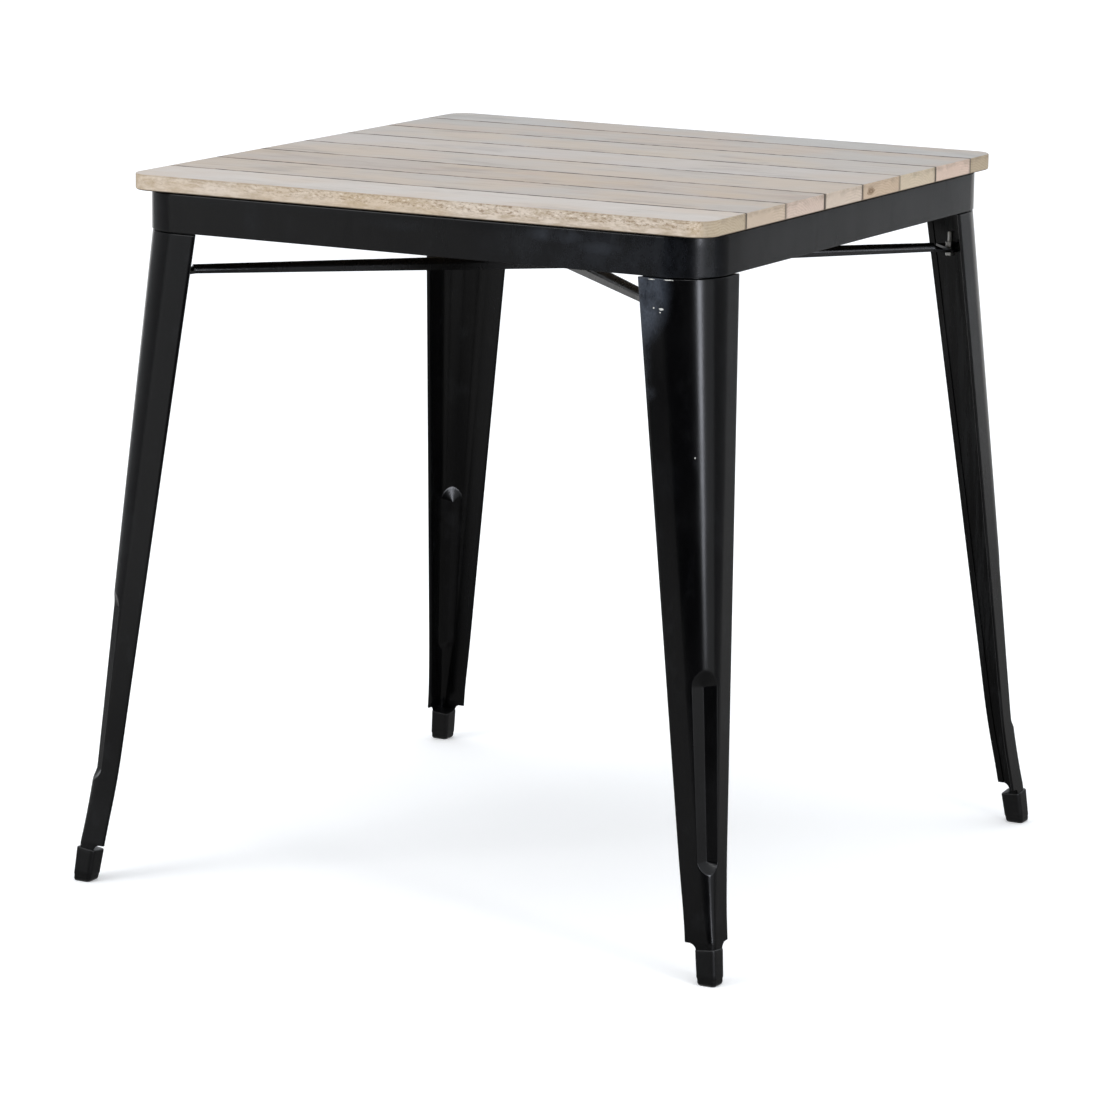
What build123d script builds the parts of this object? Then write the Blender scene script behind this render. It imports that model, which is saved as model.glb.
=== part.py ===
from build123d import *
import os
from math import radians, sqrt

# Bistro table: plank top on a pressed-steel frame with four folded legs.
# Millimetres. Origin on the floor under the middle of the top, +Z up,
# planks run along X.

# ---- table top ----
TOP_SIZE = 670.0
TOP_HEIGHT = 745.0
TOP_THICK = 17.0
TOP_CORNER = 22.6
TOP_EDGE_ROUND = 1.2
TOP_UNDER_ROUND = 2.5
SEAM_FIRST = -255.5
SEAM_PITCH = 87.4
SEAM_GAP = 0.4
SEAM_VEE = 0.7
PLANK_COUNT = 8

# ---- apron frame under the top ----
APRON_HALF = 330.7
APRON_CORNER = 50.0
APRON_TOP = TOP_HEIGHT - TOP_THICK
APRON_HEIGHT = 41.0
APRON_BOTTOM = APRON_TOP - APRON_HEIGHT
SHEET = 1.5
FLANGE_WIDTH = 25.0

# ---- legs: two flanks joined by a rounded corner ----
LEG_TOP = APRON_BOTTOM - 1.5
LEG_FLANK_END = 40.5
LEG_TIP = 10.0
HEM_WIDTH = 7.0
HEM_THICK = 3.0
TONGUE_HALF = APRON_HALF - SHEET - 0.3
TONGUE_CORNER = APRON_CORNER - SHEET - 0.3
TONGUE_FLANK = 66.0
TONGUE_START = LEG_TOP - 1.5
TONGUE_TOP = APRON_TOP - SHEET
TOP_TAB_THICK = 2.0
STRIP_WIDTH = 19.5
RELIEF_ROUND = 7.5

# ---- pressed groove on each leg corner ----
GROOVE_HIGH = 290.0
GROOVE_LOW = 124.0
GROOVE_R_HIGH = 25.3
GROOVE_R_LOW = 18.8
GROOVE_S_HIGH = 509.4
GROOVE_S_LOW = 522.7

# ---- foot caps ----
CAP_AT = 369.4
CAP_LEAN = 0.11
CAP_HEIGHT = 34.7
CAP_WIDTH_TOP = 22.7
CAP_WIDTH_FLOOR = 21.7
CAP_CORNER = 4.5
CAP_CHAMFER = 2.2

# ---- cross brace and its brackets ----
BRACE_TOP = 649.0
BRACE_DEPTH_MID = 15.0
BRACE_DEPTH_END = 9.0
BRACE_WIDTH_MID = 14.0
BRACE_WIDTH_END = 12.0
BRACE_ARM_END = 286.5
TAB_START = 295.0
TAB_BOTTOM = 639.0
TAB_THICK = 3.0
TAB_WIDTH = 18.0
BRACKET_THICK = 2.5
BRACKET_SIDE = 36.0
BRACKET_FRONT = 591.0
BRACE_BOLT_AT = 300.5

# ---- fasteners ----
BRACE_BOLT = 6.0
BRACE_BOLT_TIP = 661.0
BRACE_HEX = 10.0
LEG_BOLT = 8.0
LEG_BOLT_AT = 306.0
LEG_BOLT_GRIP = 11.5
LEG_HEX = 13.0
SCREW = 4.0
SCREW_HEAD = 8.5
SCREW_INSET = 317.0
SCREW_LENGTH = 13.5

CORNERS = {
    "front_left": (-1, -1),
    "front_right": (1, -1),
    "rear_right": (1, 1),
    "rear_left": (-1, 1),
}


def save(shape, name):
    shape.label = name
    export_step(shape, f"parts/{name}.step")


def to_corner(shape, corner):
    """Mirror a piece made in the +X +Y corner to another corner."""
    sx, sy = CORNERS[corner]
    if sx < 0:
        shape = mirror(shape, about=Plane.YZ)
    if sy < 0:
        shape = mirror(shape, about=Plane.XZ)
    return shape


def rounded_block(half, corner, low, high):
    outline = Pos(0, 0, low) * RectangleRounded(2 * half, 2 * half, corner)
    return extrude(outline, high - low)


# ---------------------------------------------------------------- planks
def seam_positions():
    return [SEAM_FIRST + SEAM_PITCH * k for k in range(PLANK_COUNT - 1)]


def plank_bounds():
    edges = [-TOP_SIZE / 2] + seam_positions() + [TOP_SIZE / 2]
    return list(zip(edges[:-1], edges[1:]))


def screw_points():
    """Two screws per plank, through the flange of the apron frame."""
    bounds = plank_bounds()
    points = []
    for index, (low, high) in enumerate(bounds):
        if index == 0:
            points.append([(-215.0, -SCREW_INSET), (215.0, -SCREW_INSET)])
        elif index == PLANK_COUNT - 1:
            points.append([(-215.0, SCREW_INSET), (215.0, SCREW_INSET)])
        else:
            middle = (low + high) / 2
            points.append([(-SCREW_INSET, middle), (SCREW_INSET, middle)])
    return points


def make_planks():
    slab = rounded_block(TOP_SIZE / 2, TOP_CORNER, APRON_TOP, TOP_HEIGHT)
    slab = fillet(slab.faces().sort_by(Axis.Z)[-1].edges(), TOP_EDGE_ROUND)
    slab = fillet(slab.faces().sort_by(Axis.Z)[0].edges(), TOP_UNDER_ROUND)
    half_vee = SEAM_GAP / 2 + SEAM_VEE
    for y in seam_positions():
        vee = Plane.YZ * Polyline(
            (y - half_vee - 1, TOP_HEIGHT + 1),
            (y, TOP_HEIGHT - half_vee),
            (y + half_vee + 1, TOP_HEIGHT + 1),
            close=True,
        )
        slab -= extrude(make_face(vee), TOP_SIZE / 2 + 5, both=True)
    planks = []
    bounds = plank_bounds()
    points = screw_points()
    for index, (low, high) in enumerate(bounds):
        low_face = low - 5 if index == 0 else low + SEAM_GAP / 2
        high_face = high + 5 if index == PLANK_COUNT - 1 else high - SEAM_GAP / 2
        middle = (low_face + high_face) / 2
        window = Pos(0, middle, TOP_HEIGHT) * Box(
            TOP_SIZE + 20, high_face - low_face, 60
        )
        plank = slab & window
        for x, y in points[index]:
            depth = SCREW_LENGTH - SHEET + 1
            plank -= Pos(x, y, APRON_TOP + depth / 2 - 0.5) * Cylinder(
                SCREW / 2 + 0.1, depth + 1
            )
        if index in (0, PLANK_COUNT - 1):
            side = -1 if index == 0 else 1
            depth = LEG_BOLT_GRIP - SHEET - TOP_TAB_THICK + 2
            for sx in (-1, 1):
                plank -= Pos(
                    sx * LEG_BOLT_AT, side * LEG_BOLT_AT, APRON_TOP + depth / 2 - 0.5
                ) * Cylinder(LEG_BOLT / 2 + 0.3, depth + 1)
        planks.append(plank)
    return planks


# ---------------------------------------------------------------- apron
def make_apron():
    ring = rounded_block(APRON_HALF, APRON_CORNER, APRON_BOTTOM, APRON_TOP)
    ring = fillet(ring.faces().sort_by(Axis.Z)[0].edges(), 0.6)
    inner = rounded_block(
        APRON_HALF - SHEET, APRON_CORNER - SHEET, APRON_BOTTOM - 1, TONGUE_TOP
    )
    opening = rounded_block(
        APRON_HALF - SHEET - FLANGE_WIDTH,
        APRON_CORNER - SHEET - FLANGE_WIDTH,
        APRON_BOTTOM - 1,
        APRON_TOP + 1,
    )
    frame = ring - inner - opening
    for pair in screw_points():
        for x, y in pair:
            frame -= Pos(x, y, APRON_TOP) * Cylinder(SCREW / 2 + 0.2, 6)
    for sx, sy in CORNERS.values():
        frame -= Pos(sx * LEG_BOLT_AT, sy * LEG_BOLT_AT, APRON_TOP) * Cylinder(
            LEG_BOLT / 2 + 0.2, 6
        )
    return frame


# ---------------------------------------------------------------- legs
def leg_half(z):
    """Distance from the table centre plane to a leg flank at height z."""
    if z < 42.0:
        return 374.9 + 0.09 * (42.0 - z)
    flare = max(142.0 - z, 0.0)
    return 329.8 + 0.0637 * (690.0 - z) + 3.83e-4 * flare**2


def leg_width(z):
    """Width of a flank from the leg corner to its free edge."""
    z = max(z, LEG_FLANK_END)
    flare = max(80.0 - z, 0.0)
    return 74.4 - 0.0675 * (690.0 - z) + 9.56e-4 * flare**2


def leg_radius(z):
    """Corner radius, wide at the top and tight at the foot."""
    if z > 180.0:
        return 20.1 + (z - 180.0) * (50.0 - 20.1) / 510.0
    return 6.8 + (max(z, 42.0) - 42.0) * (20.1 - 6.8) / 138.0


def corner_path(half, width, radius):
    """Straight, arc, straight along the outside of a corner section."""
    return [
        (half - width, half),
        (half - radius, half),
        (half, half - radius),
        (half, half - width),
    ]


def leg_section(z, half, width, radius, hem):
    """Section of the folded sheet, with a flat hem on both free edges."""
    a, b, c, d = corner_path(half, width, radius)
    edge = HEM_THICK if hem else SHEET
    inner = half - SHEET
    turn = radius - SHEET
    start = half - width
    lines = [
        Line(a, b),
        RadiusArc(b, c, radius),
        Line(c, d),
        Line(d, (half - edge, start)),
    ]
    if hem:
        lines += [
            Line((half - edge, start), (half - edge, start + HEM_WIDTH)),
            Line((half - edge, start + HEM_WIDTH), (inner, start + HEM_WIDTH)),
        ]
        first = (inner, start + HEM_WIDTH)
        last = (start + HEM_WIDTH, inner)
    else:
        first = (inner, start)
        last = (start, inner)
    lines += [
        Line(first, (inner, inner - turn)),
        RadiusArc((inner, inner - turn), (inner - turn, inner), -turn),
        Line((inner - turn, inner), last),
    ]
    if hem:
        lines += [
            Line(last, (start + HEM_WIDTH, half - edge)),
            Line((start + HEM_WIDTH, half - edge), (start, half - edge)),
        ]
    lines += [Line((start, half - edge), a)]
    return Pos(0, 0, z) * make_face(Curve() + lines)


def leg_filled(z, half, width, radius):
    """Solid corner outline, used to trim pieces that sit inside a leg."""
    a, b, c, d = corner_path(half, width, radius)
    lines = [
        Line(a, b),
        RadiusArc(b, c, radius),
        Line(c, d),
        Line(d, (half - width, half - width)),
        Line((half - width, half - width), a),
    ]
    return Pos(0, 0, z) * make_face(Curve() + lines)


def groove_body(extra):
    """Tapered round-ended bar that runs down the leg corner."""
    top = Vector(GROOVE_S_HIGH / sqrt(2), GROOVE_S_HIGH / sqrt(2), GROOVE_HIGH)
    low = Vector(GROOVE_S_LOW / sqrt(2), GROOVE_S_LOW / sqrt(2), GROOVE_LOW)
    axis = top - low
    middle = Plane(origin=(top + low) * 0.5, z_dir=axis)
    bar = middle * Cone(GROOVE_R_LOW + extra, GROOVE_R_HIGH + extra, axis.length)
    bar += Pos(*top) * Sphere(GROOVE_R_HIGH + extra)
    bar += Pos(*low) * Sphere(GROOVE_R_LOW + extra)
    return bar


def corner_plate(low, thick, half, radius, front, side):
    """Flat plate that fills the inside of a leg corner."""
    start = half - 90
    body = Pos(0, 0, low) * extrude(leg_filled(0, half, 90, radius), thick)
    reach = 200.0
    keep = Polyline(
        ((front - side) / 2, (front + side) / 2),
        ((front + side) / 2, (front - side) / 2),
        ((front + side) / 2 + reach, (front - side) / 2 + reach),
        ((front - side) / 2 + reach, (front + side) / 2 + reach),
        close=True,
    )
    keep = Pos(0, 0, low - 1) * extrude(make_face(keep), thick + 2)
    return body & keep


def make_leg():
    heights = [LEG_TOP, 180.0, 142.0, 120.0, 100.0, 80.0, 60.0, 42.0, LEG_TIP]
    sections = []
    envelope = []
    for z in heights:
        half, width, radius = leg_half(z), leg_width(z), leg_radius(z)
        sections.append(leg_section(z, half, width, radius, True))
        envelope.append(leg_filled(z, half, width, radius))
    leg = loft(sections, ruled=True)
    filled = loft(envelope[:7], ruled=True)

    # pressed groove: the sheet follows the groove with constant thickness
    leg += groove_body(SHEET) & filled
    leg -= groove_body(0)

    # relief cuts leave a narrow strip that enters the foot cap
    inner = leg_half(LEG_FLANK_END) - STRIP_WIDTH
    cut = Plane.XZ * (
        Pos(inner - 50, LEG_FLANK_END - 50) * RectangleRounded(100, 100, RELIEF_ROUND)
    )
    across = Pos(0, 450, 0) * extrude(cut, 200, both=True)
    leg -= across
    leg -= mirror(across, about=Plane(origin=(0, 0, 0), z_dir=(1, -1, 0)))

    # tongue that slides up inside the apron, closed by a drilled top tab
    tongue = leg_section(0, TONGUE_HALF, TONGUE_FLANK, TONGUE_CORNER, False)
    leg += Pos(0, 0, TONGUE_START) * extrude(tongue, TONGUE_TOP - TONGUE_START)
    leg += corner_plate(
        TONGUE_TOP - TOP_TAB_THICK,
        TOP_TAB_THICK,
        TONGUE_HALF,
        TONGUE_CORNER,
        565.0,
        60.0,
    )
    leg -= Pos(LEG_BOLT_AT, LEG_BOLT_AT, TONGUE_TOP) * Cylinder(
        LEG_BOLT / 2 + 0.3, 12
    )
    return leg


def make_bracket():
    """Plate welded across the inside of a leg; the brace tab bolts up against it."""
    low = TAB_BOTTOM + TAB_THICK
    half = leg_half(low + BRACKET_THICK) - SHEET
    radius = leg_radius(low + BRACKET_THICK) - SHEET
    plate = corner_plate(
        low, BRACKET_THICK, half, radius, BRACKET_FRONT, BRACKET_SIDE
    )
    return plate - Pos(BRACE_BOLT_AT, BRACE_BOLT_AT, low) * Cylinder(
        BRACE_BOLT / 2 + 0.3, 12
    )


# ---------------------------------------------------------------- foot cap
def make_cap(leg):
    """Tapered cap that leans with the leg, its top square to the leg."""
    floor = RectangleRounded(CAP_WIDTH_FLOOR, CAP_WIDTH_FLOOR, CAP_CORNER)
    crown = RectangleRounded(CAP_WIDTH_TOP, CAP_WIDTH_TOP, CAP_CORNER)
    over = CAP_HEIGHT + 8.0
    crown_at = CAP_AT - CAP_LEAN * over
    cap = loft([Pos(CAP_AT, CAP_AT, 0) * floor, Pos(crown_at, crown_at, over) * crown], ruled=True)
    top_at = CAP_AT - CAP_LEAN * CAP_HEIGHT
    top = Plane(origin=(top_at, top_at, CAP_HEIGHT), z_dir=(-CAP_LEAN, -CAP_LEAN, 1))
    cap = split(cap, bisect_by=top, keep=Keep.BOTTOM)
    cap = chamfer(cap.faces().sort_by(Axis.Z)[0].edges(), CAP_CHAMFER)
    cap = fillet(cap.faces().sort_by(Axis.Z)[-1].edges(), 1.2)
    return cap - leg


# ---------------------------------------------------------------- cross brace
def channel_section(s, depth, width, wall):
    """Round-topped section square to the diagonal, filled down to its open underside."""
    origin = (s, s, 0)
    plane = Plane(origin=origin, x_dir=(1, -1, 0), z_dir=(1, 1, 0))
    low = BRACE_TOP - depth - (1.0 if wall else 0.0)
    turn = width / 2 - wall
    top = BRACE_TOP - wall
    # local +Y of the section plane points down or up depending on its frame
    up = 1 if plane.y_dir.Z > 0 else -1
    lines = [
        Line((-turn, up * low), (turn, up * low)),
        Line((turn, up * low), (turn, up * (top - turn))),
        ThreePointArc(
            (turn, up * (top - turn)), (0, up * top), (-turn, up * (top - turn))
        ),
        Line((-turn, up * (top - turn)), (-turn, up * low)),
    ]
    return plane * make_face(Curve() + lines)


def brace_strut(wall):
    """One diagonal of the brace, deepest where the two diagonals cross."""
    mid = channel_section(0, BRACE_DEPTH_MID, BRACE_WIDTH_MID, wall)
    near = channel_section(-BRACE_ARM_END, BRACE_DEPTH_END, BRACE_WIDTH_END, wall)
    far = channel_section(BRACE_ARM_END, BRACE_DEPTH_END, BRACE_WIDTH_END, wall)
    return loft([near, mid, far], ruled=True)


def brace_end():
    """Flattened, drilled tab that carries on from the end of an arm."""
    start = channel_section(
        BRACE_ARM_END - 2.0, BRACE_DEPTH_END - 0.3, BRACE_WIDTH_END - 0.6, 0
    )
    start = Pos(0, 0, -0.3) * start
    plane = Plane(origin=(TAB_START, TAB_START, 0), x_dir=(1, -1, 0), z_dir=(1, 1, 0))
    up = 1 if plane.y_dir.Z > 0 else -1
    low = up * TAB_BOTTOM
    high = up * (TAB_BOTTOM + TAB_THICK)
    flat = Polyline(
        (-TAB_WIDTH / 2, low),
        (TAB_WIDTH / 2, low),
        (TAB_WIDTH / 2, high),
        (-TAB_WIDTH / 2, high),
        close=True,
    )
    end = loft([start, plane * make_face(flat)], ruled=True)
    lap = Pos(BRACE_BOLT_AT, BRACE_BOLT_AT, TAB_BOTTOM + TAB_THICK / 2)
    end += lap * Cylinder(TAB_WIDTH / 2, TAB_THICK)
    run = (BRACE_BOLT_AT - TAB_START) * sqrt(2)
    end += lap * Rot(0, 0, 45) * Pos(-run / 2, 0, 0) * Box(run, TAB_WIDTH, TAB_THICK)
    return end - lap * Cylinder(BRACE_BOLT / 2 + 0.3, 12)


def make_brace():
    outer = brace_strut(0) + Rot(0, 0, 90) * brace_strut(0)
    inner = brace_strut(SHEET) + Rot(0, 0, 90) * brace_strut(SHEET)
    brace = outer - inner
    for turn in (0, 90, 180, 270):
        brace += Rot(0, 0, turn) * brace_end()
    return brace


# ---------------------------------------------------------------- fasteners
def hex_head(across, thick):
    head = extrude(RegularPolygon(across / 2, 6, major_radius=False), thick)
    limit = Pos(0, 0, thick / 2) * Cylinder(across / 2 * 1.1, thick)
    return head & limit


def make_brace_bolt():
    bolt = Pos(0, 0, TAB_BOTTOM - 4.0) * hex_head(BRACE_HEX, 4.0)
    length = BRACE_BOLT_TIP - TAB_BOTTOM
    shank = Cylinder(BRACE_BOLT / 2, length)
    shank = chamfer(shank.faces().sort_by(Axis.Z)[-1].edges(), 0.8)
    bolt += Pos(0, 0, TAB_BOTTOM + length / 2) * shank
    return Pos(BRACE_BOLT_AT, BRACE_BOLT_AT, 0) * bolt


def make_brace_nut():
    nut = hex_head(BRACE_HEX, 5.0)
    nut -= Cylinder(BRACE_BOLT / 2 + 0.05, 20)
    return Pos(BRACE_BOLT_AT, BRACE_BOLT_AT, TAB_BOTTOM + TAB_THICK + BRACKET_THICK) * nut


def make_leg_bolt():
    under = TONGUE_TOP - TOP_TAB_THICK
    bolt = Pos(0, 0, under - 5.3) * hex_head(LEG_HEX, 5.3)
    bolt += Pos(0, 0, under + LEG_BOLT_GRIP / 2) * Cylinder(
        LEG_BOLT / 2, LEG_BOLT_GRIP
    )
    return Pos(LEG_BOLT_AT, LEG_BOLT_AT, 0) * bolt


def make_screw():
    head = Pos(0, 0, -1.1) * Cylinder(SCREW_HEAD / 2, 2.2)
    head = fillet(head.faces().sort_by(Axis.Z)[0].edges(), 0.9)
    shank = Cylinder(SCREW / 2, SCREW_LENGTH)
    shank = chamfer(shank.faces().sort_by(Axis.Z)[-1].edges(), 1.2)
    return head + Pos(0, 0, SCREW_LENGTH / 2) * shank


os.makedirs("parts", exist_ok=True)

for number, plank in enumerate(make_planks(), start=1):
    save(plank, f"plank_{number}")

save(make_apron(), "apron_frame")

leg = make_leg()
cap = make_cap(leg)
bracket = make_bracket()
for corner in CORNERS:
    save(to_corner(leg, corner), f"leg_{corner}")
    save(to_corner(cap, corner), f"foot_cap_{corner}")
    save(to_corner(bracket, corner), f"brace_bracket_{corner}")

save(make_brace(), "cross_brace")

save(Compound([to_corner(make_brace_bolt(), c) for c in CORNERS]), "brace_bolts")
save(Compound([to_corner(make_brace_nut(), c) for c in CORNERS]), "brace_nuts")
save(Compound([to_corner(make_leg_bolt(), c) for c in CORNERS]), "leg_bolts")
screws = []
for pair in screw_points():
    for x, y in pair:
        screws.append(Pos(x, y, TONGUE_TOP) * make_screw())
save(Compound(screws), "plank_screws")
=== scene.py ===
import math

import bpy
import numpy as np
from mathutils import Matrix, Vector


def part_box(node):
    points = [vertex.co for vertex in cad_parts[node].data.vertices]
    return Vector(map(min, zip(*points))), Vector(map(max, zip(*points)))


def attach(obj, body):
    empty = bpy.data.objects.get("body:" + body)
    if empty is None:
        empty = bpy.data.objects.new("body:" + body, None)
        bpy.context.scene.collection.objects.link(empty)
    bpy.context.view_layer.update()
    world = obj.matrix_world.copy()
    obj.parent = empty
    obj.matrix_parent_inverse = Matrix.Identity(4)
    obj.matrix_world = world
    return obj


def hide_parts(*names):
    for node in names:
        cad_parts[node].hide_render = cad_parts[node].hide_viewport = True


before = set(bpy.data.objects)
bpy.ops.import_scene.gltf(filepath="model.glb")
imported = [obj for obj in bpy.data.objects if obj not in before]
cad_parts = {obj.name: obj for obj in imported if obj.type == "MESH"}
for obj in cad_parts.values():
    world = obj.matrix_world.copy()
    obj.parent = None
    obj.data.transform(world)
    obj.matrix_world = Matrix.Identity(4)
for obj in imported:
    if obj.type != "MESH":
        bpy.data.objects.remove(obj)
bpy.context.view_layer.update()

MM = 0.001
CORNERS = {
    "front_left": (-1, -1),
    "front_right": (1, -1),
    "rear_right": (1, 1),
    "rear_left": (-1, 1),
}


# ------------------------------------------------------------------ shaders
class Shader:
    """Builds one Principled material from short node calls."""

    def __init__(self, name):
        self.mat = bpy.data.materials.new(name)
        self.mat.use_nodes = True
        self.tree = self.mat.node_tree
        self.tree.nodes.clear()
        self.out = self.tree.nodes.new("ShaderNodeOutputMaterial")
        self.bsdf = self.tree.nodes.new("ShaderNodeBsdfPrincipled")
        self.tree.links.new(self.bsdf.outputs[0], self.out.inputs[0])
        self.coords = self.tree.nodes.new("ShaderNodeTexCoord")

    def put(self, socket, value):
        """Link a node output to the socket, or set its plain value."""
        if isinstance(value, bpy.types.NodeSocket):
            self.tree.links.new(value, socket)
        elif isinstance(value, (int, float)) and socket.type in ("RGBA", "VECTOR"):
            socket.default_value = (value,) * (4 if socket.type == "RGBA" else 3)
        else:
            socket.default_value = value

    def math(self, kind, a, b=0.0, clamp=False):
        n = self.tree.nodes.new("ShaderNodeMath")
        n.operation = kind
        n.use_clamp = clamp
        self.put(n.inputs[0], a)
        self.put(n.inputs[1], b)
        return n.outputs[0]

    def where(self, scale, offset=(0, 0, 0), source=None):
        """Object coordinates, stretched and shifted."""
        n = self.tree.nodes.new("ShaderNodeMapping")
        self.put(n.inputs["Vector"], source or self.coords.outputs["Object"])
        n.inputs["Scale"].default_value = scale
        n.inputs["Location"].default_value = offset
        return n.outputs[0]

    def noise(self, vector, detail, rough):
        """Cloudy pattern from 0 to 1; the vector sets its scale."""
        n = self.tree.nodes.new("ShaderNodeTexNoise")
        self.put(n.inputs["Vector"], vector)
        n.inputs["Scale"].default_value = 1.0
        n.inputs["Detail"].default_value = detail
        n.inputs["Roughness"].default_value = rough
        return n.outputs[0]

    def ramp(self, value, low, high, a=0.0, b=1.0):
        """Smooth step of value from low..high onto a..b."""
        n = self.tree.nodes.new("ShaderNodeMapRange")
        n.interpolation_type = "SMOOTHSTEP"
        self.put(n.inputs["Value"], value)
        for key, v in (("From Min", low), ("From Max", high), ("To Min", a), ("To Max", b)):
            n.inputs[key].default_value = v
        return n.outputs[0]

    def mix(self, fac, a, b, blend="MIX"):
        n = self.tree.nodes.new("ShaderNodeMix")
        n.data_type = "RGBA"
        n.blend_type = blend
        self.put(n.inputs[0], fac)
        self.put(n.inputs[6], a if not isinstance(a, tuple) else (*a[:3], 1.0))
        self.put(n.inputs[7], b if not isinstance(b, tuple) else (*b[:3], 1.0))
        return n.outputs[2]

    def split(self, vector):
        n = self.tree.nodes.new("ShaderNodeSeparateXYZ")
        self.put(n.inputs[0], vector)
        return n.outputs

    def join(self, x, y, z):
        n = self.tree.nodes.new("ShaderNodeCombineXYZ")
        for i, v in enumerate((x, y, z)):
            self.put(n.inputs[i], v)
        return n.outputs[0]

    def bump(self, height, depth, strength=1.0, normal=None):
        n = self.tree.nodes.new("ShaderNodeBump")
        n.inputs["Strength"].default_value = strength
        n.inputs["Distance"].default_value = depth
        self.put(n.inputs["Height"], height)
        if normal is not None:
            self.put(n.inputs["Normal"], normal)
        return n.outputs[0]

    def finish(self, **values):
        """Set the Principled inputs by name and hand over the material."""
        for key, value in values.items():
            name = key.replace("_", " ")
            socket = next(s for s in self.bsdf.inputs if s.name.lower() == name.lower())
            if isinstance(value, tuple) and socket.type == "RGBA":
                value = (*value[:3], 1.0)
            self.put(socket, value)
        return self.mat


def linear(r, g, b):
    """Display colour, 0 to 255, as linear light."""
    def one(c):
        c = c / 255.0
        return c / 12.92 if c <= 0.04045 else ((c + 0.055) / 1.055) ** 2.4
    return (one(r), one(g), one(b))


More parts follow.
